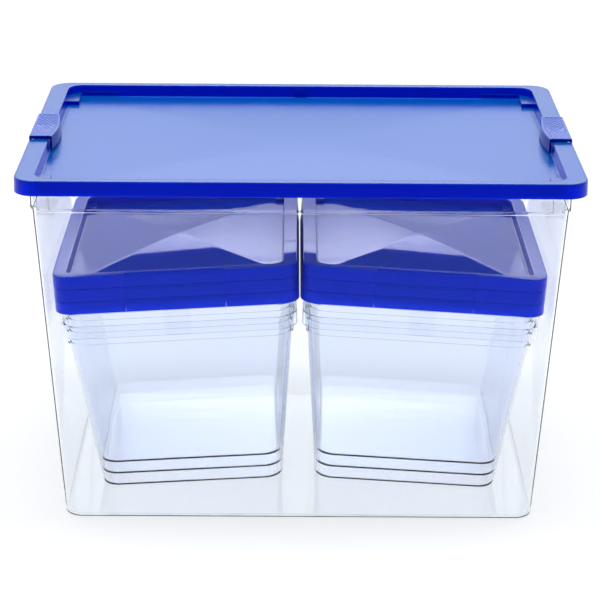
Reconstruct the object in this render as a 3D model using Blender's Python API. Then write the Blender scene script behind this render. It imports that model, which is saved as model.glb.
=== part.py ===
"""Clear storage tub with a blue clip-on lid, holding two stacks of small nesting bins and their blue lids.

Run with: blender --background --python part.py
Units are metres, +Z is up, +X runs along the tub's length, and the origin is under the middle of the tub.
"""
from math import cos, pi, radians, sin

import bmesh
import bpy
from mathutils import Matrix, Vector

# ---- driving dimensions -------------------------------------------------------------------------
CLEARANCE = 0.0003            # gap between pieces that touch
CORNER_STEPS = 4              # facets round each quarter corner
PAD_CUT = 0.7                 # cut corner of a pad, as a share of the panel's corner radius

# tub
TUB_HALF_X, TUB_HALF_Y = 0.2605, 0.1722      # half size of the base
TUB_DRAFT_X, TUB_DRAFT_Y = 0.062, 0.055      # outward slope of the end and long walls
TUB_WALL, TUB_FLOOR = 0.0024, 0.0026
TUB_BASE_EDGE = 0.003                        # chamfer round the base
TUB_BASE_RADIUS, TUB_RIM_RADIUS = 0.019, 0.022
TUB_SHOULDER_Z = 0.363                       # ledge where the collar begins
TUB_SHOULDER_STEP = 0.0018
TUB_RIM_Z = 0.3969
TUB_FLANGE_X, TUB_FLANGE_Y = 0.2964, 0.1968  # half size over the turned-out rim
TUB_LIP_Z = 0.3885                           # lower edge of the turned-down lip
TUB_LIP_WALL = 0.002
GUSSET_X = (0.262, 0.274)                    # ribs under the rim on the long sides, near each corner
GUSSET_THICK, GUSSET_DEPTH = 0.0024, 0.0022
GUSSET_ABOVE_SHOULDER = 0.004
SHOULDER_RISE = 0.0006

# tub lid
LID_HALF_X, LID_HALF_Y = 0.3, 0.2
LID_TOP_Z = 0.3995
LID_SKIRT = 0.0163
LID_WALL = 0.0023
LID_RADIUS, LID_PANEL_RADIUS = 0.022, 0.017
LID_RIM_X, LID_RIM_Y = 0.0215, 0.0115        # width of the flat rim at the ends and along the long sides
LID_RECESS = 0.014                           # depth of the sunk panel
LID_PAD_X, LID_PAD_Y, LID_PAD_HIGH = 0.014, 0.040, 0.005
LID_EDGE = 0.001                             # chamfer on the rim and round the panel
SKIRT_FLARE, WALL_DRAFT = 0.0004, 0.0008     # outward flare of the skirt's lip, and draft of the panel's wall

# end latches
LATCH_HALF = 0.045
LATCH_PIVOT_X, LATCH_PIVOT_Z = 0.2744, 0.3896
LATCH_TOP_Z = 0.4036
LATCH_BULGE = 0.0042                         # how far the D-shaped apron swells at mid-length
LATCH_STATIONS = 9
LATCH_ARM = 0.002                            # thickness of the outer arm, and of the hook under it
LATCH_ARM_Z = 0.3842                         # lower end of the arm
LATCH_UNDER = 0.0005                         # gap between the lid's rim and the latch over it
LATCH_APRON_Z = 0.3878                       # lower edge of the apron that joins the panel wall
LATCH_EDGE = 0.0016                          # chamfer along the latch's two upper edges
LATCH_NOTCH_IN, LATCH_NOTCH_OUT, LATCH_NOTCH_END = 0.005, 0.003, 0.0006   # cut in the lid's skirt for the arm

# small bins
BIN_HALF_X, BIN_HALF_Y = 0.1025, 0.119
BIN_DRAFT = 0.118
BIN_WALL, BIN_FLOOR = 0.0013, 0.0016
BIN_EDGE = 0.003
BIN_RADIUS_LOW, BIN_RADIUS_HIGH = 0.018, 0.022
BIN_SHOULDER_Z, BIN_SHOULDER_STEP, BIN_SHOULDER_RISE = 0.182, 0.002, 0.0008
BIN_RIM_Z = 0.2072
BIN_LIP, BIN_LIP_OUT = 0.0139, 0.0283        # height of the turned-down lip, and its reach past the base
BIN_LIP_WALL, BIN_LIP_DRAFT = 0.0012, 0.0002
BIN_PITCH = 0.0144                           # rise of each nested bin over the one outside it

# small lids
SMALL_HALF_X, SMALL_HALF_Y = 0.1346, 0.150
SMALL_SKIRT = 0.0142
SMALL_WALL = 0.0018
SMALL_RADIUS, SMALL_PANEL_RADIUS = 0.020, 0.013
SMALL_RIM_X, SMALL_RIM_Y = 0.0155, 0.0115
SMALL_RECESS = 0.011
SMALL_PITCH = 0.0146                         # rise of each stacked lid over the one below
SMALL_EDGE = 0.0008
SMALL_CROWN = 0.006                          # rise of the panel's middle over its border
CROWN_SHARES = (0.05, 0.35, 0.6, 0.82)       # rings of the crowned panel, as shares of its border
SMALL_PAD_X, SMALL_PAD_Y, SMALL_PAD_HIGH = 0.010, 0.026, 0.004
GRIP_HIGH, GRIP_IN, GRIP_OUT = 0.0020, 0.1412, 0.1476
FLAP_HALF, FLAP_SLIT = 0.054, 0.001
FLAP_TOP, FLAP_WALL, FLAP_BEAD = 0.0024, 0.0018, 0.0003
FLAP_EDGE = 0.0008                           # chamfer at the hinge edge
FLAP_BEAD_LOW, FLAP_BEAD_HIGH = 0.0006, 0.0020   # height of the bead and of its end above the lower edge
SLOT_BEHIND, SLOT_BEYOND = 0.0012, 0.002     # how far the flap's slot is cut behind and beyond the skirt
SLOT_HEAD = 0.0004                           # room above the hinge edge

# stacks
STACK_SIZE = 3                               # bins in a stack, and lids on it
STACK_LEAN = radians(3.5)                    # each stack leans out along the tub's sloping end wall
STACK_BASE_X = 0.1214                        # middle of the lowest bin's base
STACK_Y = 0.0185
SIDES = {"left": -1, "right": 1}


# ---- scene helpers ------------------------------------------------------------------------------
def clear_scene():
    for obj in list(bpy.data.objects):
        bpy.data.objects.remove(obj, do_unlink=True)


def new_collection(name):
    group = bpy.data.collections.new(name)
    bpy.context.scene.collection.children.link(group)
    return group


def plastic(name, color, roughness, transmission):
    """A Principled moulded plastic."""
    material = bpy.data.materials.new(name)
    material.use_nodes = True
    shader = material.node_tree.nodes["Principled BSDF"]
    shader.inputs["Base Color"].default_value = (*color, 1)
    shader.inputs["Roughness"].default_value = roughness
    shader.inputs["Metallic"].default_value = 0
    shader.inputs["Transmission Weight"].default_value = transmission
    material.diffuse_color = (*color, 1)
    return material


def add_object(name, mesh, group, material=None):
    obj = bpy.data.objects.new(name, mesh)
    group.objects.link(obj)
    if material and not mesh.materials:
        mesh.materials.append(material)
    return obj


def add_empty(name, group, location, tilt=0.0):
    empty = bpy.data.objects.new(name, None)
    empty.empty_display_size = 0.03
    group.objects.link(empty)
    empty.location = location
    empty.rotation_euler = (0, tilt, 0)
    return empty


def place(obj, parent, location=(0, 0, 0), turn=0.0):
    obj.parent = parent
    obj.location = location
    obj.rotation_euler = (0, 0, turn)


# ---- shape helpers ------------------------------------------------------------------------------
def rounded_ring(half_x, half_y, radius, z):
    """Corners of a rounded rectangle at height z, anticlockwise, always the same number of points."""
    ring = []
    for quarter, (side_x, side_y) in enumerate(((1, 1), (-1, 1), (-1, -1), (1, -1))):
        for step in range(CORNER_STEPS + 1):
            angle = pi / 2 * (quarter + step / CORNER_STEPS)
            x = side_x * (half_x - radius) + radius * cos(angle)
            y = side_y * (half_y - radius) + radius * sin(angle)
            ring.append((x, y, z))
    return ring


def lofts(name, bodies):
    """Closed bodies in one mesh: each one's rings bridged in order, with flat caps on the first and last."""
    shape = bmesh.new()
    for rings in bodies:
        rows = [[shape.verts.new(point) for point in ring] for ring in rings]
        count = len(rows[0])
        for low, high in zip(rows, rows[1:]):
            for i in range(count):
                j = (i + 1) % count
                shape.faces.new((low[i], low[j], high[j], high[i]))
        shape.faces.new(rows[0])
        shape.faces.new(rows[-1])
    bmesh.ops.recalc_face_normals(shape, faces=shape.faces)
    mesh = bpy.data.meshes.new(name)
    shape.to_mesh(mesh)
    shape.free()
    return mesh


def boxes(name, spans):
    """Separate boxes in one mesh, each given as ((low x, y, z), (high x, y, z))."""
    shape = bmesh.new()
    for low, high in spans:
        low, high = Vector(low), Vector(high)
        centre = Matrix.Translation((low + high) / 2)
        bmesh.ops.create_cube(shape, size=1, matrix=centre @ Matrix.Diagonal((*(high - low), 1)))
    mesh = bpy.data.meshes.new(name)
    shape.to_mesh(mesh)
    shape.free()
    return mesh


def loft(name, rings):
    return lofts(name, [rings])


def corner_pads(name, corner, size, low_z, high_z, cut):
    """Four blocks in the corners of a sunk panel, each with its outermost corner cut off."""
    bodies = []
    for side_x in (-1, 1):
        for side_y in (-1, 1):
            (x1, y1), (long_x, long_y) = corner, size
            x0, y0 = x1 - long_x, y1 - long_y
            outline = [(x0, y0), (x1, y0), (x1, y1 - cut), (x1 - cut, y1), (x0, y1)]
            bodies.append([[(side_x * x, side_y * y, z) for x, y in outline] for z in (low_z, high_z)])
    return lofts(name, bodies)


def mirrored(span, flip_x, flip_y):
    """The same box on the other side of the middle planes."""
    (x0, y0, z0), (x1, y1, z1) = span
    if flip_x:
        x0, x1 = -x1, -x0
    if flip_y:
        y0, y1 = -y1, -y0
    return (x0, y0, z0), (x1, y1, z1)


def four_corners(span):
    return [mirrored(span, fx, fy) for fx in (False, True) for fy in (False, True)]


def boolean(mesh, tool_mesh, operation, cutters):
    """The mesh after an exact Boolean with the tool, which stays in the cutters collection."""
    body = add_object(mesh.name + "_blank", mesh, cutters)
    tool = add_object(tool_mesh.name, tool_mesh, cutters)
    modifier = body.modifiers.new(operation.title(), "BOOLEAN")
    modifier.operation = operation
    modifier.solver = "EXACT"
    modifier.object = tool
    graph = bpy.context.evaluated_depsgraph_get()
    result = bpy.data.meshes.new_from_object(body.evaluated_get(graph))
    result.name = mesh.name
    bpy.data.objects.remove(body, do_unlink=True)
    tool.hide_render = True
    tool.display_type = "WIRE"
    return result


def smooth(mesh):
    mesh.shade_smooth()
    mesh.set_sharp_from_angle(angle=radians(30))
    return mesh


# ---- tub ----------------------------------------------------------------------------------------
def tub_ring(z, grow=0.0, inset=0.0):
    """Outline of the tub's drafted wall at height z, grown by the shoulder and inset by the wall."""
    share = z / TUB_RIM_Z
    radius = TUB_BASE_RADIUS + (TUB_RIM_RADIUS - TUB_BASE_RADIUS) * share - inset
    half_x = TUB_HALF_X + TUB_DRAFT_X * min(z, TUB_SHOULDER_Z) + grow - inset
    half_y = TUB_HALF_Y + TUB_DRAFT_Y * min(z, TUB_SHOULDER_Z) + grow - inset
    return rounded_ring(half_x, half_y, radius, z)


def make_tub(cutters):
    flange_under = TUB_RIM_Z - TUB_WALL
    lip_in_x, lip_in_y = TUB_FLANGE_X - TUB_LIP_WALL, TUB_FLANGE_Y - TUB_LIP_WALL
    step = TUB_SHOULDER_STEP
    rings = [
        tub_ring(TUB_FLOOR, inset=TUB_WALL + TUB_BASE_EDGE),
        tub_ring(TUB_FLOOR + TUB_BASE_EDGE, inset=TUB_WALL),
        tub_ring(TUB_SHOULDER_Z + TUB_WALL, inset=TUB_WALL),
        tub_ring(TUB_SHOULDER_Z + TUB_WALL + SHOULDER_RISE, step, TUB_WALL),
        tub_ring(TUB_RIM_Z, step, TUB_WALL),
        rounded_ring(TUB_FLANGE_X, TUB_FLANGE_Y, TUB_RIM_RADIUS, TUB_RIM_Z),
        rounded_ring(TUB_FLANGE_X, TUB_FLANGE_Y, TUB_RIM_RADIUS, TUB_LIP_Z),
        rounded_ring(lip_in_x, lip_in_y, TUB_RIM_RADIUS - TUB_LIP_WALL, TUB_LIP_Z),
        rounded_ring(lip_in_x, lip_in_y, TUB_RIM_RADIUS - TUB_LIP_WALL, flange_under),
        tub_ring(flange_under, step),
        tub_ring(TUB_SHOULDER_Z + SHOULDER_RISE, step),
        tub_ring(TUB_SHOULDER_Z),
        tub_ring(TUB_BASE_EDGE),
        tub_ring(0, inset=TUB_BASE_EDGE),
    ]
    wall_y = TUB_HALF_Y + TUB_DRAFT_Y * TUB_SHOULDER_Z + step
    ribs = []
    for x in GUSSET_X:
        low = (x - GUSSET_THICK / 2, wall_y - TUB_WALL / 2, TUB_SHOULDER_Z + GUSSET_ABOVE_SHOULDER)
        high = (x + GUSSET_THICK / 2, wall_y + GUSSET_DEPTH, TUB_RIM_Z - TUB_WALL / 2)
        ribs += four_corners((low, high))
    return boolean(loft("tub", rings), boxes("tub_gussets", ribs), "UNION", cutters)


# ---- lids ---------------------------------------------------------------------------------------
def crowned(border, crown):
    """A panel inside its border ring: the ring shrunk in steps and lifted towards the middle."""
    return [[(x * share, y * share, z + crown * (1 - share * share)) for x, y, z in border]
            for share in CROWN_SHARES]


def lid_rings(half_x, half_y, radius, inner, rim_x, rim_y, skirt, wall, recess, edge, crown=0.0):
    """Rings of a snap lid whose rim top is at z = 0: under the panel, out, down the skirt, and back over."""
    in_x, in_y = half_x - rim_x, half_y - rim_y

    def sunk(offset, z):
        return rounded_ring(in_x + offset, in_y + offset, inner + offset, z)

    def outer(offset, z):
        return rounded_ring(half_x + offset, half_y + offset, radius + offset, z)

    rings = [
        sunk(-WALL_DRAFT - edge, -recess - wall),
        sunk(wall - WALL_DRAFT, -recess - wall + edge * 2),
        sunk(wall, -wall),
        outer(-wall, -wall),
        outer(SKIRT_FLARE - wall, -skirt),
        outer(SKIRT_FLARE, -skirt),
        outer(0, -edge * 2),
        outer(-edge * 2, 0),
        sunk(edge, 0),
        sunk(0, -edge),
        sunk(-WALL_DRAFT, -recess + edge),
        sunk(-WALL_DRAFT - edge, -recess),
    ]
    if crown:
        rings = crowned(rings[0], crown) + rings + crowned(rings[-1], crown)[::-1]
    return rings


def make_lid(cutters):
    rings = lid_rings(LID_HALF_X, LID_HALF_Y, LID_RADIUS, LID_PANEL_RADIUS, LID_RIM_X, LID_RIM_Y,
                      LID_SKIRT, LID_WALL, LID_RECESS, LID_EDGE)
    bite = LID_EDGE
    corner = (LID_HALF_X - LID_RIM_X + bite, LID_HALF_Y - LID_RIM_Y + bite)
    pads = corner_pads("lid_pads", corner, (LID_PAD_X, LID_PAD_Y), -LID_RECESS - bite,
                       LID_PAD_HIGH - LID_RECESS, PAD_CUT * LID_PANEL_RADIUS)
    notch_half = LATCH_HALF + LATCH_NOTCH_END
    notch = ((LID_HALF_X - LATCH_NOTCH_IN, -notch_half, -LID_SKIRT - bite),
             (LID_HALF_X + LATCH_NOTCH_OUT, notch_half, bite))
    mesh = loft("lid", rings)
    mesh = boolean(mesh, pads, "UNION", cutters)
    notches = [notch, mirrored(notch, True, False)]
    return boolean(mesh, boxes("lid_notches", notches), "DIFFERENCE", cutters)


def make_small_lid(cutters):
    rings = lid_rings(SMALL_HALF_X, SMALL_HALF_Y, SMALL_RADIUS, SMALL_PANEL_RADIUS, SMALL_RIM_X, SMALL_RIM_Y,
                      SMALL_SKIRT, SMALL_WALL, SMALL_RECESS, SMALL_EDGE, SMALL_CROWN)
    bite = SMALL_EDGE
    corner = (SMALL_HALF_X - SMALL_RIM_X + bite, SMALL_HALF_Y - SMALL_RIM_Y + bite)
    pads = corner_pads("small_lid_pads", corner, (SMALL_PAD_X, SMALL_PAD_Y), -SMALL_RECESS - bite / 2,
                       SMALL_PAD_HIGH - SMALL_RECESS, PAD_CUT * SMALL_PANEL_RADIUS)
    grip = ((-FLAP_HALF, GRIP_IN, -bite), (FLAP_HALF, GRIP_OUT, GRIP_HIGH))
    grips = [grip, mirrored(grip, False, True)]
    slot_half = FLAP_HALF + FLAP_SLIT
    slot = ((-slot_half, SMALL_HALF_Y - SMALL_WALL - SLOT_BEHIND, -SMALL_SKIRT - bite),
            (slot_half, SMALL_HALF_Y + SLOT_BEYOND, -FLAP_TOP + SLOT_HEAD))
    mesh = loft("small_lid", rings)
    mesh = boolean(mesh, pads, "UNION", cutters)
    mesh = boolean(mesh, boxes("small_lid_grips", grips), "UNION", cutters)
    slots = [slot, mirrored(slot, False, True)]
    return boolean(mesh, boxes("small_lid_slots", slots), "DIFFERENCE", cutters)


def make_flap():
    """Snap flap of a small lid. Its origin is its hinge line, with +Y pointing out of the lid."""
    half_gap = SLOT_HEAD / 2
    lower = FLAP_TOP - SMALL_SKIRT
    outline = [
        (0, half_gap),
        (FLAP_WALL - FLAP_EDGE, half_gap),
        (FLAP_WALL, -FLAP_EDGE),
        (FLAP_WALL + FLAP_BEAD, lower),
        (FLAP_BEAD / 3, lower),
        (-FLAP_BEAD, lower + FLAP_BEAD_LOW),
        (0, lower + FLAP_BEAD_HIGH),
    ]
    ends = [[(x, y, z) for y, z in outline] for x in (-FLAP_HALF, FLAP_HALF)]
    return loft("flap", ends)


# ---- end latch ----------------------------------------------------------------------------------
def make_latch():
    """End latch, for the +X end, with its origin on its hinge line."""
    arm_out, arm_in = LID_HALF_X, LID_HALF_X - LATCH_ARM
    under = LID_TOP_Z + LATCH_UNDER
    fine, lip = LATCH_UNDER, 0.6 * LATCH_UNDER          # small chamfers along the inner edges
    root, inner = LATCH_PIVOT_X, LATCH_PIVOT_X + LATCH_ARM
    sections = []
    for station in range(LATCH_STATIONS):
        share = 2 * station / (LATCH_STATIONS - 1) - 1
        swell = LATCH_BULGE * (1 - share * share)
        outline = [
            (arm_out, LATCH_ARM_Z), (arm_out, LATCH_TOP_Z - LATCH_EDGE), (arm_out - LATCH_EDGE, LATCH_TOP_Z),
            (inner + lip - swell, LATCH_TOP_Z), (root + fine - swell, LATCH_TOP_Z - LATCH_EDGE),
            (root - swell, LATCH_APRON_Z + LATCH_ARM / 2), (root + fine - swell, LATCH_APRON_Z),
            (inner - swell, LATCH_APRON_Z), (inner + fine - swell, under),
            (arm_in - fine, under), (arm_in, under - fine),
            (arm_in, LATCH_ARM_Z + LATCH_ARM), (arm_in - lip, LATCH_ARM_Z + LATCH_ARM / 2),
            (arm_in + fine, LATCH_ARM_Z),
        ]
        y = share * LATCH_HALF
        sections.append([(x - LATCH_PIVOT_X, y, z - LATCH_PIVOT_Z) for x, z in outline])
    return loft("latch", sections)


# ---- small bin ----------------------------------------------------------------------------------
def bin_ring(offset, z):
    """Outline of a small bin, offset outwards from its base size."""
    radius = BIN_RADIUS_LOW + (BIN_RADIUS_HIGH - BIN_RADIUS_LOW) * z / BIN_RIM_Z
    return rounded_ring(BIN_HALF_X + offset, BIN_HALF_Y + offset, radius, z)


def make_bin():
    def wall(z):
        return BIN_DRAFT * z

    step = BIN_SHOULDER_STEP
    under = BIN_RIM_Z - BIN_WALL
    lip_z = BIN_RIM_Z - BIN_LIP
    in_shoulder = BIN_SHOULDER_Z + BIN_WALL
    rings = [
        bin_ring(-BIN_WALL - BIN_EDGE, BIN_FLOOR),
        bin_ring(wall(BIN_FLOOR + BIN_EDGE) - BIN_WALL, BIN_FLOOR + BIN_EDGE),
        bin_ring(wall(in_shoulder) - BIN_WALL, in_shoulder),
        bin_ring(wall(in_shoulder) + step - BIN_WALL, in_shoulder + BIN_SHOULDER_RISE),
        bin_ring(wall(BIN_RIM_Z) + step - BIN_WALL, BIN_RIM_Z),
        bin_ring(BIN_LIP_OUT, BIN_RIM_Z),
        bin_ring(BIN_LIP_OUT + BIN_LIP_DRAFT, lip_z),
        bin_ring(BIN_LIP_OUT - BIN_LIP_WALL, lip_z),
        bin_ring(BIN_LIP_OUT - BIN_LIP_WALL, under),
        bin_ring(wall(under) + step, under),
        bin_ring(wall(BIN_SHOULDER_Z) + step, BIN_SHOULDER_Z + BIN_SHOULDER_RISE),
        bin_ring(wall(BIN_SHOULDER_Z), BIN_SHOULDER_Z),
        bin_ring(wall(BIN_EDGE), BIN_EDGE),
        bin_ring(-BIN_EDGE, 0),
    ]
    return loft("bin", rings)


# ---- assembly -----------------------------------------------------------------------------------
def add_stack(side_name, group, meshes):
    """Three nested bins with three stacked lids, leaning out towards the tub's end wall."""
    side = SIDES[side_name]
    lift = (BIN_HALF_X - BIN_EDGE) * sin(STACK_LEAN)
    foot = (side * STACK_BASE_X, STACK_Y, TUB_FLOOR + CLEARANCE + lift)
    stack = add_empty(f"{side_name}_stack", group, foot, side * STACK_LEAN)
    top_bin = (STACK_SIZE - 1) * BIN_PITCH + BIN_RIM_Z
    for k in range(STACK_SIZE):
        nested = add_object(f"{side_name}_bin_{k + 1}", meshes["bin"], group)
        place(nested, stack, (0, 0, k * BIN_PITCH))
        cover_z = top_bin + CLEARANCE + SMALL_WALL + k * SMALL_PITCH
        cover = add_object(f"{side_name}_bin_lid_{k + 1}", meshes["small_lid"], group)
        place(cover, stack, (0, 0, cover_z))
        for flap_name, turn in (("back", 0), ("front", pi)):
            flap = add_object(f"{side_name}_lid_{k + 1}_{flap_name}_flap", meshes["flap"], group)
            out = SMALL_HALF_Y - SMALL_WALL
            place(flap, stack, (0, out * cos(turn), cover_z - FLAP_TOP), turn)


def main():
    clear_scene()
    group = new_collection("under_bed_box")
    cutters = new_collection("cutters")
    clear = plastic("clear_plastic", (0.86, 0.92, 0.96), 0.08, 0.9)
    blue = plastic("blue_plastic", (0.01, 0.06, 0.62), 0.12, 0.4)

    add_object("tub", smooth(make_tub(cutters)), group, clear)
    lid = add_object("lid", smooth(make_lid(cutters)), group, blue)
    lid.location = (0, 0, LID_TOP_Z)
    latch = smooth(make_latch())
    for side_name, side in SIDES.items():
        obj = add_object(f"{side_name}_latch", latch, group, blue)
        place(obj, None, (side * LATCH_PIVOT_X, 0, LATCH_PIVOT_Z), 0 if side > 0 else pi)

    meshes = {"bin": make_bin(), "small_lid": make_small_lid(cutters), "flap": make_flap()}
    for name, mesh in meshes.items():
        smooth(mesh).materials.append(clear if name == "bin" else blue)
    for side_name in SIDES:
        add_stack(side_name, group, meshes)


main()
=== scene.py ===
# %% [markdown]
# A clear storage tub with a blue lid. Inside stand two stacks of small clear bins, each with three blue
# lids. This notebook loads the measured solids as a fixed frame and makes a finer, smoother skin for each
# of them. Moulded plastic is all thin walls with soft edges, so nearly every piece is one profile carried
# round a rounded rectangle. That way the light runs along the edges as it does on the real thing.

from math import cos, pi, radians, sin

import bmesh
import bpy
import numpy as np
from mathutils import Matrix, Vector


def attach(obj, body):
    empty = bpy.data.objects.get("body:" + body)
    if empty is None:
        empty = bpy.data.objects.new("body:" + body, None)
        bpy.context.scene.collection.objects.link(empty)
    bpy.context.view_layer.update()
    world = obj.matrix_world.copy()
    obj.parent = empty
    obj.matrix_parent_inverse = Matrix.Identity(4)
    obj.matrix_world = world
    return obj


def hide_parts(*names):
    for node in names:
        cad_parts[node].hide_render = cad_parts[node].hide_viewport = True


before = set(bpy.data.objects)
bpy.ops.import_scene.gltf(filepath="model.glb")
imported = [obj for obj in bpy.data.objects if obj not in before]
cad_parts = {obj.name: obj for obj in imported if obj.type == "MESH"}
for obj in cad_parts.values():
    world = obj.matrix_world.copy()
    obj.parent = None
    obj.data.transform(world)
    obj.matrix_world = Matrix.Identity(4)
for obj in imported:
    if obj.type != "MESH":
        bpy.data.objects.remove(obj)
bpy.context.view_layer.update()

# %% [markdown]
# All sizes in metres, as on the solids. A lid's own heights are measured from its rim, and the small
# pieces' heights from the foot of their own stack. GAP is the air left between pieces that rest on each
# other, and INTO is how far a small added shape reaches into the wall that carries it.

# %% Sizes
TUB = dict(half=(0.2605, 0.1722), draft=(0.062, 0.055), wall=0.0024, floor=0.0026, low_round=0.019,
           high_round=0.022, shoulder=0.363, step=0.0018, rise=0.0006, rim=0.3969, flange=(0.2964, 0.1968),
           lip=0.3885, lip_wall=0.002)
LID = dict(half=(0.3, 0.2), top=0.3995, skirt=0.0163, wall=0.0023, corner=0.022, inner=0.017,
           rim=(0.0215, 0.0115), recess=0.014, crown=0.0012)
LATCH = dict(half=0.045, root=0.2744, top=0.4036, foot=0.3842, apron=0.3878, bulge=0.0042, wall=0.002,
             gap=0.0005)
BIN = dict(half=(0.1025, 0.119), draft=0.118, wall=0.0013, floor=0.0016, low_round=0.018, high_round=0.022,
           shoulder=0.182, step=0.002, rise=0.0008, rim=0.2072, lip=0.0139, lip_wall=0.0012, lip_draft=0.0002,
           reach=0.0283, pitch=0.0144, edge=0.003)
CAP = dict(half=(0.1346, 0.150), skirt=0.0142, wall=0.0018, corner=0.020, inner=0.013, rim=(0.0155, 0.0115),
           recess=0.011, pitch=0.0146, crown=0.0058)
FLAP = dict(half=0.054, slit=0.001, top=0.0024, head=0.0004, tuck=0.0007, wall=0.0018, bead=0.0003)
LEAN, STACK_X, STACK_Y = radians(3.5), 0.1214, 0.0185
SIDES = {"left": -1, "right": 1}
GAP = 0.0003
INTO = 0.0004
foot_height = TUB["floor"] + GAP + (BIN["half"][0] - BIN["edge"]) * sin(LEAN)
first_cap = 2 * BIN["pitch"] + BIN["rim"] + GAP + CAP["wall"]
print("foot of a stack:", round(foot_height, 4), "and its first small lid above that:", round(first_cap, 4))

# %% [markdown]
# The camera stands about two and a half metres away and a metre up, with a long lens, so the walls hardly
# converge. It is turned in three steps: up from pointing at the floor, a hair to the right, and a hair
# about its own line. The last lines work out where the lid's corners fall, as shares of a square
# picture's width and height: half, plus the side step over the distance, times lens over film.

# %% Camera
LENS, FILM = 124.625, 36.0
EYE = Vector((-0.00909, -2.25313, 1.04613))
PITCH_DOWN, TO_THE_RIGHT, ROLL = 0.3614, 0.0043, 0.0073

camera = bpy.data.objects.new("camera", bpy.data.cameras.new("camera"))
bpy.context.scene.collection.objects.link(camera)
camera.data.lens, camera.data.sensor_width = LENS, FILM
camera.data.clip_end = 60
camera.matrix_world = (Matrix.Translation(EYE) @ Matrix.Rotation(-TO_THE_RIGHT, 4, "Z")
                       @ Matrix.Rotation(pi / 2 - PITCH_DOWN, 4, "X") @ Matrix.Rotation(ROLL, 4, "Z"))
bpy.context.scene.camera = camera
bpy.context.view_layer.update()
into_view = camera.matrix_world.inverted()
for east, north in ((-1, -1), (1, -1), (-1, 1), (1, 1)):
    seen = into_view @ Vector((east * LID["half"][0], north * LID["half"][1], LID["top"]))
    across, down = (0.5 - seen.x / seen.z * LENS / FILM, 0.5 + seen.y / seen.z * LENS / FILM)
    print("lid corner", (east, north), "is seen at", round(across, 3), "across,", round(down, 3), "down")

# %% [markdown]
# A rounded rectangle is four quarter circles and four straight sides. Each point of it is kept as a
# recipe, a share of the straight part, a fixed distance and a direction, so that the same columns of
# points fit every size of ring. Extra columns can be asked for where a slot or a grip begins.

# %% Rounded outlines
SHARES = np.array([0.985, 0.8, 0.6])


def columns(along_x=(0.0,), along_y=(0.0,), steps=9):
    """Recipes of the points of a rounded rectangle, anticlockwise: on each axis a share of the straight half
    length and a fixed distance, and then the angle of the corner's spoke. The stops asked for on the sides
    that run along X or along Y are distances from the middle of the side."""
    parts = []
    for quarter in range(4):
        east, north = ((1, 1), (-1, 1), (-1, -1), (1, -1))[quarter]
        angle = np.linspace(quarter, quarter + 1, steps + 1) * pi / 2
        whole, none = np.ones(steps + 1), np.zeros(steps + 1)
        parts.append(np.stack([east * whole, none, north * whole, none, angle], 1))
        stops = np.sort(np.array(along_y if quarter % 2 else along_x))[::-1]
        way = 1 if quarter < 2 else -1
        share = way * np.concatenate([SHARES, 0 * stops, -SHARES[::-1]])
        fixed = way * np.concatenate([0 * SHARES, stops, 0 * SHARES])
        side = (north if quarter % 2 == 0 else east) * np.ones(len(share))
        spoke = (quarter + 1) * pi / 2 * np.ones(len(share))
        if quarter % 2:
            parts.append(np.stack([side, 0 * side, share, fixed, spoke], 1))
        else:
            parts.append(np.stack([share, fixed, side, 0 * side, spoke], 1))
    return np.concatenate(parts)


def rings(recipe, rows):
    """One ring of points for each row. A row is half length, half width, corner radius, height and a share
    that shrinks the ring to its middle: point = share x (straight part + fixed distance + radius x spoke)."""
    half_x, half_y, radius, height, share = (column[:, None] for column in np.asarray(rows, float).T)
    share_x, fixed_x, share_y, fixed_y, spoke = recipe.T
    x = (share_x * (half_x - radius) + fixed_x + radius * np.cos(spoke)) * share
    y = (share_y * (half_y - radius) + fixed_y + radius * np.sin(spoke)) * share
    return np.stack([x, y, height + 0 * x], -1)


plain = columns()
print("a plain outline has", len(plain), "points")

# %% [markdown]
# A moulded edge is never sharp. The profile is given by its corners, each with the length of its bend.
# Every corner is cut that far from its point on both sides, and a quadratic curve joins the two cuts. One
# more ring on each side of the curve holds the flat part flat, so that reflections stay straight until
# the edge.

# %% Soft corners
HOLD = 0.0012


def soften(corners, steps=4):
    """The profile with a round bend at each corner P: (1-t)^2 A + 2t(1-t) P + t^2 B, from cut A to cut B."""
    corners = np.array(corners, float)
    point, bend = corners[:, :5], corners[:, 5]
    before, here, after = point[:-2], point[1:-1], point[2:]
    back, on = before - here, after - here
    length_back = np.hypot(back[:, 0], back[:, 3])[:, None]
    length_on = np.hypot(on[:, 0], on[:, 3])[:, None]
    cut_back = np.minimum(bend[1:-1, None] / length_back, 0.48)
    cut_on = np.minimum(bend[1:-1, None] / length_on, 0.48)
    t = np.linspace(0, 1, steps + 1)[None, :, None]
    a, b = (here + back * cut_back)[:, None], (here + on * cut_on)[:, None]
    curve = (1 - t) ** 2 * a + 2 * t * (1 - t) * here[:, None] + t ** 2 * b
    hold_back = here + back * np.minimum(cut_back + HOLD / length_back, 0.5)
    hold_on = here + on * np.minimum(cut_on + HOLD / length_on, 0.5)
    path = np.concatenate([hold_back[:, None], curve, hold_on[:, None]], 1).reshape(-1, 5)
    return np.concatenate([point[:1], path, point[-1:]])


def cap(row, shares, crown=0.0):
    """The same ring shrunk by each share in turn, and lifted by crown x (1 - share^2)^2."""
    half_x, half_y, radius, height = row[:4]
    lifts = [crown * (1 - share ** 2) ** 2 for share in shares]
    return np.array([[half_x, half_y, radius, height + lift, share] for lift, share in zip(lifts, shares)])


OUTWARDS = (0, 0.12, 0.25, 0.38, 0.5, 0.62, 0.73, 0.83, 0.91, 0.97)
INWARDS = OUTWARDS[::-1]

# %% [markdown]
# A grid of points becomes a mesh by joining each ring to the next. Rings that shrink to a point close the
# ends, and points that fall together are merged. The enclosed volume tells whether the faces look
# outwards, and turns them round if it comes out negative. Sharp folds are marked, and everything else is
# shaded smooth.

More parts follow.
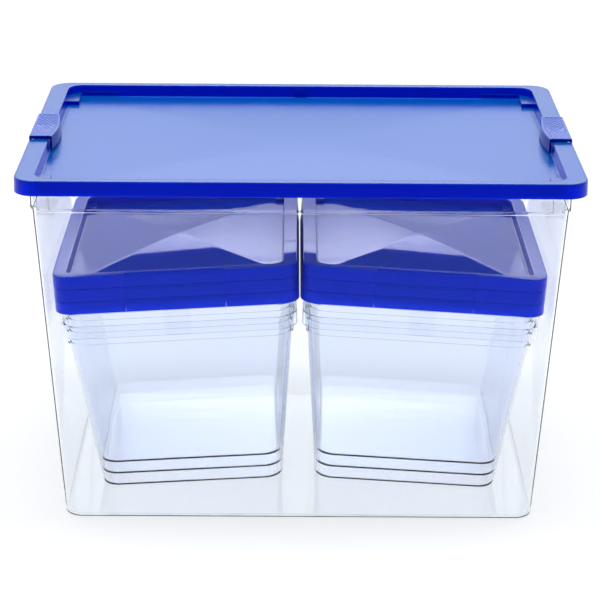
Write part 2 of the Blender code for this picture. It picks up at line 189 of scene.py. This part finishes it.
# %% From a grid to a piece
def quads(grid, start, caps):
    """Corner numbers of a grid's faces, whose rings close on themselves, and of its two ends if asked."""
    count, around = grid.shape[:2]
    number = np.arange(count * around).reshape(count, around) + start
    right = np.roll(number, -1, axis=1)
    faces = np.stack([number[:-1], right[:-1], right[1:], number[1:]], -1).reshape(-1, 4)
    a, b, c, d = (grid.reshape(-1, 3)[faces[:, k] - start] for k in range(4))
    middle = grid.reshape(-1, 3).mean(0)
    volume = sum(np.einsum("ij,ij->i", p - middle, np.cross(q - middle, r - middle)).sum()
                 for p, q, r in ((a, b, c), (a, c, d)))
    ends = [number[0][::-1], number[-1]] if caps else []
    faces, ends = faces.tolist(), [end.tolist() for end in ends]
    return [face[::-1] for face in faces + ends] if volume < 0 else faces + ends


def piece(name, grids, place, finish, body, node, flat_ends=False, keep=30):
    """Joins the grids into one mesh at its place, rides it on a body and lets it stand for a solid."""
    points, faces = [], []
    for grid in grids:
        faces += quads(grid, sum(len(part) for part in points), flat_ends)
        points.append(grid.reshape(-1, 3))
    mesh = bpy.data.meshes.new(name)
    mesh.from_pydata(np.concatenate(points).tolist(), [], faces)
    shape = bmesh.new()
    shape.from_mesh(mesh)
    bmesh.ops.remove_doubles(shape, verts=shape.verts, dist=1e-6)
    bmesh.ops.dissolve_degenerate(shape, edges=shape.edges, dist=1e-7)
    shape.to_mesh(mesh)
    shape.free()
    mesh.transform(place)
    mesh.shade_smooth()
    mesh.set_sharp_from_angle(angle=radians(keep))
    mesh.materials.append(finish)
    made = bpy.data.objects.new(name, mesh)
    bpy.context.scene.collection.objects.link(made)
    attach(made, body)
    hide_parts(node)
    return made


def block(outline, low, high, edge=0.0003):
    """A small prism on a convex outline, its upper edges eased by drawing the top ring in by that width."""
    outline = np.array(outline, float)
    middle = outline.mean(0)
    size = np.abs(outline - middle).max()
    levels = ((low, 0), (low, 1), (high - edge, 1), (high, 1 - edge / size), (high, 0))
    return np.array([[(*(middle + (p - middle) * share), z) for p in outline] for z, share in levels])


def brick(low, high, edge=0.0003):
    """A block on a rectangle, from its lowest corner to its highest."""
    outline = ((low[0], low[1]), (high[0], low[1]), (high[0], high[1]), (low[0], high[1]))
    return block(outline, low[2], high[2], edge)


def flipped(grid, flip_x, flip_y):
    return grid * (-1 if flip_x else 1, -1 if flip_y else 1, 1)


def four(grid):
    """The same small shape near all four corners."""
    return [flipped(grid, fx, fy) for fx in (False, True) for fy in (False, True)]


AT_REST = Matrix.Identity(4)

# %% [markdown]
# Shader sums read best as sums. A Wire holds an output socket, and +, -, * on it add the Math node of
# that name. A Recipe is one material, and its method adds any other node: the type first, then its
# settings, then its inputs.

# %% Materials as sums
class Wire:
    """An output socket that takes part in Python sums."""

    def __init__(self, recipe, socket):
        self.recipe, self.socket = recipe, socket

    def math(self, operation, first, second):
        return self.recipe.add("ShaderNodeMath", {"operation": operation}, {0: first, 1: second})

    def __add__(self, other):
        return self.math("ADD", self, other)

    def __sub__(self, other):
        return self.math("SUBTRACT", self, other)

    def __rsub__(self, other):
        return self.math("SUBTRACT", other, self)

    def __mul__(self, other):
        return self.math("MULTIPLY", self, other)

    __radd__, __rmul__ = __add__, __mul__


class Recipe:
    """The nodes of one material or of the world."""

    def __init__(self, owner):
        owner.use_nodes = True
        self.owner, self.tree = owner, owner.node_tree
        self.tree.nodes.clear()

    def add(self, kind, settings=None, inputs=None, take=0):
        node = self.tree.nodes.new(kind)
        for name, value in (settings or {}).items():
            setattr(node, name, value)
        for name, value in (inputs or {}).items():
            if isinstance(value, Wire):
                self.tree.links.new(value.socket, node.inputs[name])
            else:
                node.inputs[name].default_value = value
        return Wire(self, node.outputs[take] if len(node.outputs) else None)

    def noise(self, scale, detail=2.0):
        where = self.add("ShaderNodeTexCoord", take=3)
        return self.add("ShaderNodeTexNoise", inputs={"Vector": where, "Scale": scale, "Detail": detail})

    def blend(self, factor, low, high):
        inputs = {0: factor, 6: (*low, 1), 7: (*high, 1)}
        return self.add("ShaderNodeMix", {"data_type": "RGBA"}, inputs, take=2)


# %% [markdown]
# Clear polypropylene is glass-like but never perfect. It has a cool tint, a faint ripple where the melt
# flowed into the mould, and a roughness that drifts a little. The ripple is a low Bump and the drift
# feeds Roughness, while the transparency itself is one constant on the shader's own socket. The walls are
# thin and nested three deep, so the body of the plastic bends light only a little, and a thin coat gives
# it its shine.

# %% Clear plastic
def clear_plastic(name, tint, deep, rough, coat):
    recipe = Recipe(bpy.data.materials.new(name))
    flow, tone_share = recipe.noise(22.0, 1.0), recipe.noise(140.0)
    bump = recipe.add("ShaderNodeBump", inputs={"Height": flow, "Strength": 0.04, "Distance": 0.002})
    shader = recipe.add("ShaderNodeBsdfPrincipled", inputs={
        "Base Color": recipe.blend(tone_share, tint, deep), "Roughness": tone_share * 0.03 + rough, "IOR": 1.08,
        "Coat Weight": coat, "Coat IOR": 1.5, "Transmission Weight": 1.0, "Normal": bump})
    recipe.add("ShaderNodeOutputMaterial", inputs={"Surface": shader})
    return recipe.owner


clear_tub = clear_plastic("clear_tub", (0.960, 0.976, 0.996), (0.948, 0.968, 0.994), 0.01, 0.1)
clear_bin = clear_plastic("clear_bin", (0.961, 0.969, 0.990), (0.951, 0.961, 0.987), 0.02, 0.1)

# %% [markdown]
# The lids are the same plastic dyed ultramarine, deep enough that one wall already looks blue while a pale
# card behind still shows through. A slow ripple in the surface comes from the flow of the melt. Faces that
# look up get a paler blue, a painted sheen, and upright faces a deeper blue, a painted shade.

# %% Blue plastic
# The two depths below a ribbed top's crest over which its colour turns from the top colour to the side
# colour: painted shade in the grooves between the ribs.
RIB_SHADE_FULL, RIB_SHADE_START = 0.0008, 0.0006


def blue_plastic(name, top, side, rough_top, rough_side, through, crest=None):
    """A dyed plastic in a lit and a shaded copy of its blue, colour and roughness following |normal z|: faces
    that look up get the paler top colour, a painted sheen of the sky, and upright faces the deeper side
    colour, a painted shade.

    A crest is the height of a ribbed top: what lies below it by RIB_SHADE_FULL or more gets the side's
    colour, a painted shade in the grooves between the ribs.
    """
    recipe = Recipe(bpy.data.materials.new(name))
    flow = recipe.noise(9.0)
    normal = recipe.add("ShaderNodeNewGeometry", take=1)
    upright = recipe.add("ShaderNodeSeparateXYZ", inputs={0: normal}, take=2)
    flat = recipe.add("ShaderNodeMath", {"operation": "ABSOLUTE"}, {0: upright})
    bump = recipe.add("ShaderNodeBump", inputs={"Height": flow, "Strength": 0.03, "Distance": 0.001})
    # The colour share is nine tenths |normal z|, the painted sheen on faces that look up and painted shade on
    # upright ones, and one tenth the melt's random ripple.
    tone_share = flat * 0.9 + flow * 0.1
    # On a ribbed top the grooves below the crest take the side colour, painted shade between the ribs.
    if crest:
        place = recipe.add("ShaderNodeTexCoord", take=3)
        height = recipe.add("ShaderNodeSeparateXYZ", inputs={0: place}, take=2)
        tone_share = tone_share * recipe.add("ShaderNodeMapRange", {"interpolation_type": "SMOOTHSTEP"},
                                   {0: height, 1: crest - RIB_SHADE_FULL, 2: crest - RIB_SHADE_START, 3: 0.0, 4: 1.0})
    rough = flat * (rough_top - rough_side) + flow * 0.04 + rough_side
    shader = recipe.add("ShaderNodeBsdfPrincipled", inputs={
        "Base Color": recipe.blend(tone_share, side, top), "Roughness": rough, "IOR": 1.5,
        "Specular Tint": (0.06, 0.14, 0.95, 1), "Transmission Weight": through, "Normal": bump})
    recipe.add("ShaderNodeOutputMaterial", inputs={"Surface": shader})
    return recipe.owner


# In each lid material the first colour is the painted sheen of faces that look up, the second the painted
# shade of upright faces.
blue_lid = blue_plastic("blue_lid", (0.0, 0.125, 0.53), (0.0, 0.003, 0.74), 0.19, 0.10, 0.6)
blue_small = blue_plastic("blue_small_lid", (0.0, 0.10, 0.90), (0.0, 0.030, 0.95), 0.03, 0.20, 0.5)
blue_latch = blue_plastic("blue_latch", (0.05, 0.15, 0.60), (0.0, 0.006, 0.30), 0.22, 0.12, 0.3,
                          crest=LATCH["top"])

# %% [markdown]
# The tub is a single thin wall. Its profile starts at the middle of the floor inside, climbs the drafted
# wall past the shoulder to the collar, turns out into the flange and its lip, and comes back down the
# outside to the middle of the base. Short ribs brace the collar near each corner.

# %% Tub
def tub_row(height, out=0.0, inset=0.0, bend=0.0):
    """The tub's wall at a height: half size + draft x height, grown by out and drawn in by inset."""
    slope = min(height, TUB["shoulder"])
    radius = TUB["low_round"] + (TUB["high_round"] - TUB["low_round"]) * height / TUB["rim"]
    half_x, half_y = (TUB["half"][k] + TUB["draft"][k] * slope + out - inset for k in (0, 1))
    return half_x, half_y, radius - inset, height, 1, bend


def flange_row(height, inset=0.0, bend=0.0):
    half_x, half_y = (size - inset for size in TUB["flange"])
    return half_x, half_y, TUB["high_round"] - inset, height, 1, bend


BASE_FLAT = 0.006
BRACE_X, BRACE_HALF, BRACE_DEEP, BRACE_UP = (0.262, 0.274), 0.0012, 0.0022, 0.004

wall, lip_wall, shoulder, step, rise, rim = (
    TUB[key] for key in ("wall", "lip_wall", "shoulder", "step", "rise", "rim"))
tub_profile = soften([
    tub_row(TUB["floor"], inset=wall + BASE_FLAT),
    tub_row(TUB["floor"], inset=wall, bend=0.005),
    tub_row(shoulder + wall, inset=wall, bend=0.0008),
    tub_row(shoulder + wall + rise, out=step, inset=wall, bend=0.0008),
    tub_row(rim, out=step, inset=wall, bend=0.0008),
    flange_row(rim, bend=0.0010),
    flange_row(TUB["lip"], bend=0.0006),
    flange_row(TUB["lip"], inset=lip_wall, bend=0.0006),
    flange_row(rim - wall, inset=lip_wall, bend=0.0008),
    tub_row(rim - wall, out=step, bend=0.0012),
    tub_row(shoulder + rise, out=step, bend=0.0008),
    tub_row(shoulder, bend=0.0008),
    tub_row(0, bend=0.0035),
    tub_row(0, inset=BASE_FLAT)])
tub_rows = np.concatenate([cap(tub_profile[0], OUTWARDS), tub_profile, cap(tub_profile[-1], INWARDS)])
collar = TUB["half"][1] + TUB["draft"][1] * shoulder + step
braces = [four(brick((x - BRACE_HALF, collar - INTO, shoulder + BRACE_UP),
                     (x + BRACE_HALF, collar + BRACE_DEEP, rim - wall))) for x in BRACE_X]
tub_parts = [rings(plain, tub_rows), *braces[0], *braces[1]]
tub = piece("clear_tub_shell", tub_parts, AT_REST, clear_tub, "tub", "tub")
print("tub has", len(tub.data.polygons), "faces")

# %% [markdown]
# A snap lid has a flat rim, a skirt that hangs over the tub's lip and a panel sunk below the rim. The
# same profile makes the large lid and the small ones, from the middle of the panel's underside, round the
# skirt and back over.

# %% Lid profile
FLARE, DRAFT, PANEL_FLAT = 0.0004, 0.0008, 0.004


def lid_profile(size, edge, bend):
    """Rings of a lid with its rim at height 0, from under the panel, out round the skirt and back over."""
    half_x, half_y = size["half"]
    in_x, in_y = half_x - size["rim"][0], half_y - size["rim"][1]
    wall, skirt, recess, crown = (size[key] for key in ("wall", "skirt", "recess", "crown"))

    def sunk(out, height, bend=bend):
        return in_x + out, in_y + out, size["inner"] + out, height, 1, bend

    def outer(out, height, bend=bend):
        return half_x + out, half_y + out, size["corner"] + out, height, 1, bend

    path = soften([
        sunk(-DRAFT - PANEL_FLAT, -recess - wall),
        sunk(wall - DRAFT, -recess - wall),
        sunk(wall, -wall, bend=0.0006),
        outer(-wall, -wall, bend=0.0006),
        outer(FLARE - wall, -skirt, bend=0.0004),
        outer(FLARE, -skirt, bend=0.0005),
        outer(0, 0, bend=edge),
        sunk(0, 0),
        sunk(-DRAFT, -recess),
        sunk(-DRAFT - PANEL_FLAT, -recess)])
    return np.concatenate([cap(path[0], OUTWARDS, crown), path, cap(path[-1], INWARDS, crown)])


def corner_pads(size, reach_x, reach_y, cut, high, edge):
    """A pad in each corner of a lid's panel, reaching along both walls, with its own corner cut off."""
    wall_x, wall_y = (size["half"][k] - size["rim"][k] for k in (0, 1))
    x, y, floor = wall_x - reach_x, wall_y - reach_y, -size["recess"]
    outline = ((x, y), (wall_x, y), (wall_x, wall_y - cut), (wall_x - cut, wall_y), (x, wall_y))
    return four(block(outline, floor - INTO, floor + high, edge))


# %% [markdown]
# The large lid is cut away at both ends for the latches. Cutting a grid is done by moving its points:
# between the ends of the notch no point may lie further out than the notch or lower than the rim's
# underside. Points that fall together are merged later, and leave clean end walls.

# %% Large lid
NOTCH_GAP, NOTCH_DEEP, HAIR = 0.0006, 0.005, 0.00005
notch, notch_x = LATCH["half"] + NOTCH_GAP, LID["half"][0] - NOTCH_DEEP
ends = np.concatenate([(notch, notch - HAIR), np.linspace(0.04, -0.04, 5), (HAIR - notch, -notch)])
lid_grid = rings(columns(along_y=ends), lid_profile(LID, edge=0.0016, bend=0.0010))
inside = (np.abs(lid_grid[..., 1]) < notch - HAIR / 2) & (np.abs(lid_grid[..., 0]) > notch_x)
lid_grid[..., 2] = np.where(inside, np.maximum(lid_grid[..., 2], -LID["wall"]), lid_grid[..., 2])
lid_grid[..., 0] = np.where(inside, np.sign(lid_grid[..., 0]) * notch_x, lid_grid[..., 0])

INTO_WALL = 0.0006
panel, wall_y = -LID["recess"], LID["half"][1] - LID["rim"][1]


def on_wall(start, end, proud, low, high, edge):
    """A small brick on the panel's long wall, from start to end along it, that stands proud of the wall."""
    return brick((start, wall_y - proud, low), (end, wall_y + INTO_WALL, high), edge)


pads = corner_pads(LID, reach_x=0.0145, reach_y=0.0405, cut=0.012, high=0.005, edge=0.0005)
post = on_wall(0.1515, 0.1525, 0.0012, panel, -0.0006, 0.0002)
ledge = on_wall(0.220, 0.262, 0.0022, panel + 0.0045, panel + 0.0058, 0.0002)
centre_tab = on_wall(-0.007, 0.007, 0.0014, panel, -0.003, 0.0003)
lid_parts = [lid_grid, *pads, *four(post), *four(ledge), centre_tab, flipped(centre_tab, False, True)]
at_top = Matrix.Translation((0, 0, LID["top"]))
lid = piece("blue_lid_shell", lid_parts, at_top, blue_lid, "lid", "lid")
print("large lid has", len(lid.data.polygons), "faces")

# %% [markdown]
# Each latch is a short bar with the section of a bridge: an arm outside the skirt, a top and an apron
# that meets the panel's wall. The section is carried along the bar, the apron swells to a D at the
# middle, and the top carries a herringbone of small ribs for the thumb.

# %% Latches
RIB_PITCH, RIB_HIGH, RIB_SLANT = 0.0080, 0.0012, 1.4


def ridge(phase):
    """A wave of straight slopes between 0 and 1: |2 frac(phase) - 1|."""
    return np.abs(2 * (phase - np.floor(phase)) - 1)


def latch_grid():
    """Sections of the +X latch along Y. Bulge x (1 - share^2) pushes the apron inwards at mid-length."""
    half, root, wall = LATCH["half"], LATCH["root"], LATCH["wall"]
    top, foot, apron = LATCH["top"], LATCH["foot"], LATCH["apron"]
    out, under = LID["half"][0], LID["top"] + LATCH["gap"]
    share = np.concatenate([[-1, -0.9975, -0.99], np.linspace(-0.98, 0.98, 131), [0.99, 0.9975, 1]])
    swell = LATCH["bulge"] * (1 - share ** 2)
    across = np.linspace(out - 0.0012, root + 0.0024, 15)
    arm = [(out - 0.0014, foot), (out - 0.0004, foot), (out, foot + 0.0004), (out, foot + 0.0008),
           (out, top - 0.0020), (out - 0.0002, top - 0.0008)]
    lid_side = [(root + 0.0014, top - 0.0004), (root + 0.0006, top - 0.0016), (root + 0.0003, apron + 0.0022),
                (root + 0.0002, apron + 0.0008), (root + 0.0006, apron), (root + 0.0018, apron),
                (root + 0.0024, apron + 0.0008), (root + 0.0026, under - 0.0006), (root + 0.0032, under)]
    inner_arm = [(out - wall - 0.0008, under), (out - wall, under - 0.0008), (out - wall, foot + 0.0020),
                 (out - wall - 0.0003, foot + 0.0008)]
    section = np.array(arm + [(x, top) for x in across] + lid_side + inner_arm)
    moves = np.zeros(len(section))
    first = len(arm)
    moves[first:first + len(across)] = np.linspace(0, 1, len(across)) ** 2
    moves[first + len(across):first + len(across) + len(lid_side)] = 1
    x = section[None, :, 0] - swell[:, None] * moves
    y = share[:, None] * half + 0 * x
    z = section[None, :, 1] + 0 * x
    on_top = np.zeros(len(section))
    on_top[first + 1:first + len(across) - 1] = 1
    herring = ridge((np.abs(y) + RIB_SLANT * (out - x)) / RIB_PITCH)
    fade = np.clip((0.97 - np.abs(share)) / 0.03, 0, 1)[:, None]
    z = z - on_top * RIB_HIGH * (1 - herring) * fade
    ease = np.array([0.0008, 0.0003, 0.0])
    above_rim = section[:, 1] > under
    z[:3] -= ease[:, None] * above_rim
    z[-3:] -= ease[::-1, None] * above_rim
    return np.stack([x, y, z], -1)


right_latch = latch_grid()
for side_name, side in SIDES.items():
    made = piece(f"{side_name}_latch_bar", [flipped(right_latch, side < 0, False)], AT_REST, blue_latch,
                 f"{side_name}_latch", f"{side_name}_latch", flat_ends=True)
    print(made.name, "has", len(made.data.polygons), "faces")

# %% [markdown]
# A small bin is made as the tub is, with a straight collar and a deep lip. Three of them nest, so each
# one stands a lip's height above the one outside it. The lip carries a small catch plate in the middle of
# its front and of its back.

# %% Small bins
CATCH_HALF, CATCH_PROUD, CATCH_DOWN, CATCH_EDGE = 0.0145, 0.0006, 0.0012, 0.0002


def bin_row(out, height, bend=0.0):
    """A small bin's outline, out from its base size, with a radius that grows with height."""
    radius = BIN["low_round"] + (BIN["high_round"] - BIN["low_round"]) * height / BIN["rim"]
    return BIN["half"][0] + out, BIN["half"][1] + out, radius, height, 1, bend


def bin_grids():
    wall, lip_wall, rim, reach = (BIN[key] for key in ("wall", "lip_wall", "rim", "reach"))
    slope, shoulder, step, rise = (BIN[key] for key in ("draft", "shoulder", "step", "rise"))
    low, inner = rim - BIN["lip"], shoulder + wall
    path = soften([
        bin_row(-wall - BASE_FLAT, BIN["floor"]),
        bin_row(-wall, BIN["floor"], bend=0.0035),
        bin_row(slope * inner - wall, inner, bend=0.0006),
        bin_row(slope * inner + step - wall, inner + rise, bend=0.0006),
        bin_row(slope * rim + step - wall, rim, bend=0.0006),
        bin_row(reach, rim, bend=0.0008),
        bin_row(reach + BIN["lip_draft"], low, bend=0.0004),
        bin_row(reach - lip_wall, low, bend=0.0004),
        bin_row(reach - lip_wall, rim - wall, bend=0.0005),
        bin_row(slope * (rim - wall) + step, rim - wall, bend=0.0006),
        bin_row(slope * shoulder + step, shoulder + rise, bend=0.0006),
        bin_row(slope * shoulder, shoulder, bend=0.0006),
        bin_row(0, 0, bend=0.0030),
        bin_row(-BASE_FLAT, 0)])
    shell = rings(plain, np.concatenate([cap(path[0], OUTWARDS), path, cap(path[-1], INWARDS)]))
    face = BIN["half"][1] + reach
    catch = brick((-CATCH_HALF, face - INTO, low + CATCH_EDGE),
                  (CATCH_HALF, face + CATCH_PROUD, rim - CATCH_DOWN), CATCH_EDGE)
    return [shell, catch, flipped(catch, False, True)]


bin_parts = bin_grids()

# %% [markdown]
# The small lid adds two things to the large one's profile, at its front and at its back: a raised grip
# with a herringbone on the rim, and a slot in the skirt where the snap flap hangs. Both are made by moving
# the grid's own points, with columns every three quarters of a millimetre under the grip.

# %% Small lids
GRIP_HALF, GRIP_IN, GRIP_OUT, GRIP_HIGH = 0.054, 0.1412, 0.1476, 0.0014
GRIP_RIB, GRIP_PITCH, GRIP_SLANT, GRIP_FOOT, GRIP_EDGE = 0.0006, 0.0050, 0.9, 0.0002, 0.0003
TINY = 0.0001
slot_half = FLAP["half"] + FLAP["slit"]
edges = np.array([slot_half, slot_half - HAIR, GRIP_HALF, GRIP_HALF - GRIP_EDGE])
stops = np.concatenate([edges, np.linspace(1, -1, 143) * (GRIP_HALF - 2 * GRIP_EDGE), -edges[::-1]])


def small_lid_grids():
    """A small lid's grid, its grips raised and its slots cut by moving points, and its four pads."""
    rows = lid_profile(CAP, edge=0.0012, bend=0.0008)
    on_rim = (np.abs(rows[:, 3]) < 1e-9) & (rows[:, 1] > GRIP_IN - 0.002) & (rows[:, 4] == 1)
    last = np.flatnonzero(on_rim)[-1]
    half_y, rim_y = CAP["half"][1], CAP["rim"][1]
    outmost, inmost = GRIP_OUT + GRIP_FOOT, GRIP_IN - GRIP_FOOT
    across = np.concatenate([[outmost, GRIP_OUT], np.linspace(GRIP_OUT - GRIP_EDGE, GRIP_IN + GRIP_EDGE, 7),
                             [GRIP_IN, inmost]])
    share = (half_y - across) / rim_y
    extra = np.stack([CAP["half"][0] - share * CAP["rim"][0], across,
                      CAP["corner"] + share * (CAP["inner"] - CAP["corner"]), 0 * across, 0 * across + 1], 1)
    before = [k for k in range(len(rows)) if k <= last and not (on_rim[k] and rows[k, 1] < outmost)]
    after = [k for k in range(len(rows)) if k >= last and not (on_rim[k] and rows[k, 1] > inmost)]
    rows = np.concatenate([rows[before], extra, rows[after]])
    grid = rings(columns(along_x=stops), rows)
    x, y, z = grid[..., 0], np.abs(grid[..., 1]), grid[..., 2]
    raised = (np.abs(x) < GRIP_HALF - TINY) & (y < GRIP_OUT - TINY) & (y > GRIP_IN + TINY) & (z > -TINY)
    middle = (GRIP_IN + GRIP_OUT) / 2
    herring = ridge((x + GRIP_SLANT * np.abs(y - middle)) / GRIP_PITCH) * (np.abs(y - middle) > 4 * TINY)
    grid[..., 2] = np.where(raised, z + GRIP_HIGH + GRIP_RIB * herring, z)
    slot = (np.abs(x) < slot_half - HAIR / 2) & (y > half_y - CAP["wall"] - FLAP["slit"])
    head = FLAP["head"] - FLAP["top"]
    grid[..., 2] = np.where(slot, np.maximum(grid[..., 2], head), grid[..., 2])
    return [grid, *corner_pads(CAP, reach_x=0.0105, reach_y=0.0265, cut=0.009, high=0.004, edge=0.0004)]


def flap_grid():
    """The flap's section, from its hinge down to its bead, carried along the slot. +Y is out of the lid."""
    wall, bead, low = FLAP["wall"], FLAP["bead"], FLAP["top"] - CAP["skirt"]
    section = np.array([(0.0002, 0.0002), (wall - 0.0010, 0.0002), (wall - 0.0003, -0.0001), (wall, -0.0008),
                        (wall + bead, low + 0.0004), (wall, low), (bead / 3, low), (-bead, low + 0.0006),
                        (-bead * 0.6, low + 0.0013), (0, low + 0.0020), (0, -0.0001)])
    share = np.array([-1, -0.995, -0.5, 0, 0.5, 0.995, 1])
    x = share[:, None] * (FLAP["half"] + FLAP["tuck"]) + 0 * section[None, :, 0]
    return np.stack([x, section[None, :, 0] + 0 * x, section[None, :, 1] + 0 * x], -1)


cap_parts, flap_part = small_lid_grids(), flap_grid()
print("small lid grid:", cap_parts[0].shape[:2], "flap grid:", flap_part.shape[:2])

# %% [markdown]
# Each stack leans out by the slope of the tub's end wall. Every piece is worked out upright and then
# moved by one matrix, which goes into its mesh, so its object stays at the origin.

# %% Stack the bins and lids
for side_name, side in SIDES.items():
    stack = Matrix.Translation((side * STACK_X, STACK_Y, foot_height)) @ Matrix.Rotation(side * LEAN, 4, "Y")
    for k in range(3):
        node = f"{side_name}_bin_{k + 1}"
        up = Matrix.Translation((0, 0, k * BIN["pitch"]))
        piece(f"{node}_shell", bin_parts, stack @ up, clear_bin, node, node)
        level = first_cap + k * CAP["pitch"]
        node = f"{side_name}_bin_lid_{k + 1}"
        up = Matrix.Translation((0, 0, level))
        made = piece(f"{node}_shell", cap_parts, stack @ up, blue_small, node, node)
        for flap_name, turn in (("back", 0), ("front", pi)):
            node = f"{side_name}_lid_{k + 1}_{flap_name}_flap"
            out = CAP["half"][1] - CAP["wall"]
            hang = Matrix.Translation((0, out * cos(turn), level - FLAP["top"]))
            hang = stack @ hang @ Matrix.Rotation(turn, 4, "Z")
            piece(f"{node}_tab", [flap_part], hang, blue_small, node, node, flat_ends=True)
print("top small lid has", len(made.data.polygons), "faces")

# %% [markdown]
# The set is lit as a catalogue shot: a pale floor that glows a little, so that the insides of the clear
# walls stay bright, under an almost even sky. A bright card stands behind the set, just above the
# horizon, with weaker wings at its sides, and the lids' panels mirror it. One soft lamp hangs overhead.
# Looked at directly, the sky is plain white.

# %% Floor, light and picture settings
FLOOR_HALF, FLOOR_DROP, BOUNCES = 12.0, 0.0005, 32
floor = bpy.data.objects.new("floor", bpy.data.meshes.new("floor"))
square = [(x * FLOOR_HALF, y * FLOOR_HALF, 0) for x, y in ((-1, -1), (1, -1), (1, 1), (-1, 1))]
floor.data.from_pydata(square, [], [(0, 1, 2, 3)])
floor.location.z = -FLOOR_DROP
bpy.context.scene.collection.objects.link(floor)
recipe = Recipe(bpy.data.materials.new("pale_floor"))
grain = recipe.noise(6.0)
shader = recipe.add("ShaderNodeBsdfPrincipled", inputs={
    "Base Color": recipe.blend(grain, (0.26, 0.26, 0.26), (0.28, 0.28, 0.28)), "Roughness": grain * 0.1 + 0.6,
    "Specular IOR Level": 0.0, "Emission Color": (0.96, 0.98, 1.0, 1), "Emission Strength": 0.75})
recipe.add("ShaderNodeOutputMaterial", inputs={"Surface": shader})
floor.data.materials.append(recipe.owner)

scene = bpy.context.scene
scene.world = bpy.data.worlds.new("studio")
recipe = Recipe(scene.world)
direction = recipe.add("ShaderNodeTexCoord", take=0)
parts = recipe.add("ShaderNodeSeparateXYZ", inputs={0: direction})
sideways, behind, above = (Wire(recipe, output) for output in parts.socket.node.outputs)
aside = recipe.add("ShaderNodeMath", {"operation": "ABSOLUTE"}, {0: sideways})


def between(value, low, high, first, last):
    """A smooth step from first to last as the value goes from low to high."""
    return recipe.add("ShaderNodeMapRange", {"interpolation_type": "SMOOTHSTEP"},
                      {0: value, 1: low, 2: high, 3: first, 4: last})


lean = between(behind + above * 0.6, -0.35, 0.7, 0.8, 0.85)
at_back = between(behind, 0.2, 0.6, 0, 1)
card = between(above, 0.30, 0.34, 0, 3) * between(above, 0.55, 0.75, 1, 0.1)
card = card * between(aside, 0.03, 0.22, 1, 0.1)
wings = between(aside, 0.02, 0.14, 0, 0.4)
directly = recipe.add("ShaderNodeLightPath", take=0)
strength = (lean + (card + wings) * at_back) * (1 - directly) + directly
back = recipe.add("ShaderNodeBackground", inputs={"Color": (0.97, 0.985, 1.0, 1), "Strength": strength})
recipe.add("ShaderNodeOutputWorld", inputs={"Surface": back})


def soft_box(name, place, aim, size, power):
    """A large lamp of a width and a length at a place, turned to face the aim."""
    lamp = bpy.data.objects.new(name, bpy.data.lights.new(name, "AREA"))
    lamp.data.shape, lamp.data.energy = "RECTANGLE", power
    lamp.data.size, lamp.data.size_y = size
    place, aim = Vector(place), Vector(aim)
    lamp.matrix_world = Matrix.Translation(place) @ (place - aim).to_track_quat("Z", "Y").to_matrix().to_4x4()
    scene.collection.objects.link(lamp)


soft_box("over_lamp", (0, -0.1, 2.4), (0, 0, 0.2), (1.8, 0.45), 34)
scene.view_settings.view_transform = "Standard"
for limit in ("max_bounces", "transmission_bounces", "transparent_max_bounces"):
    setattr(scene.cycles, limit, BOUNCES)
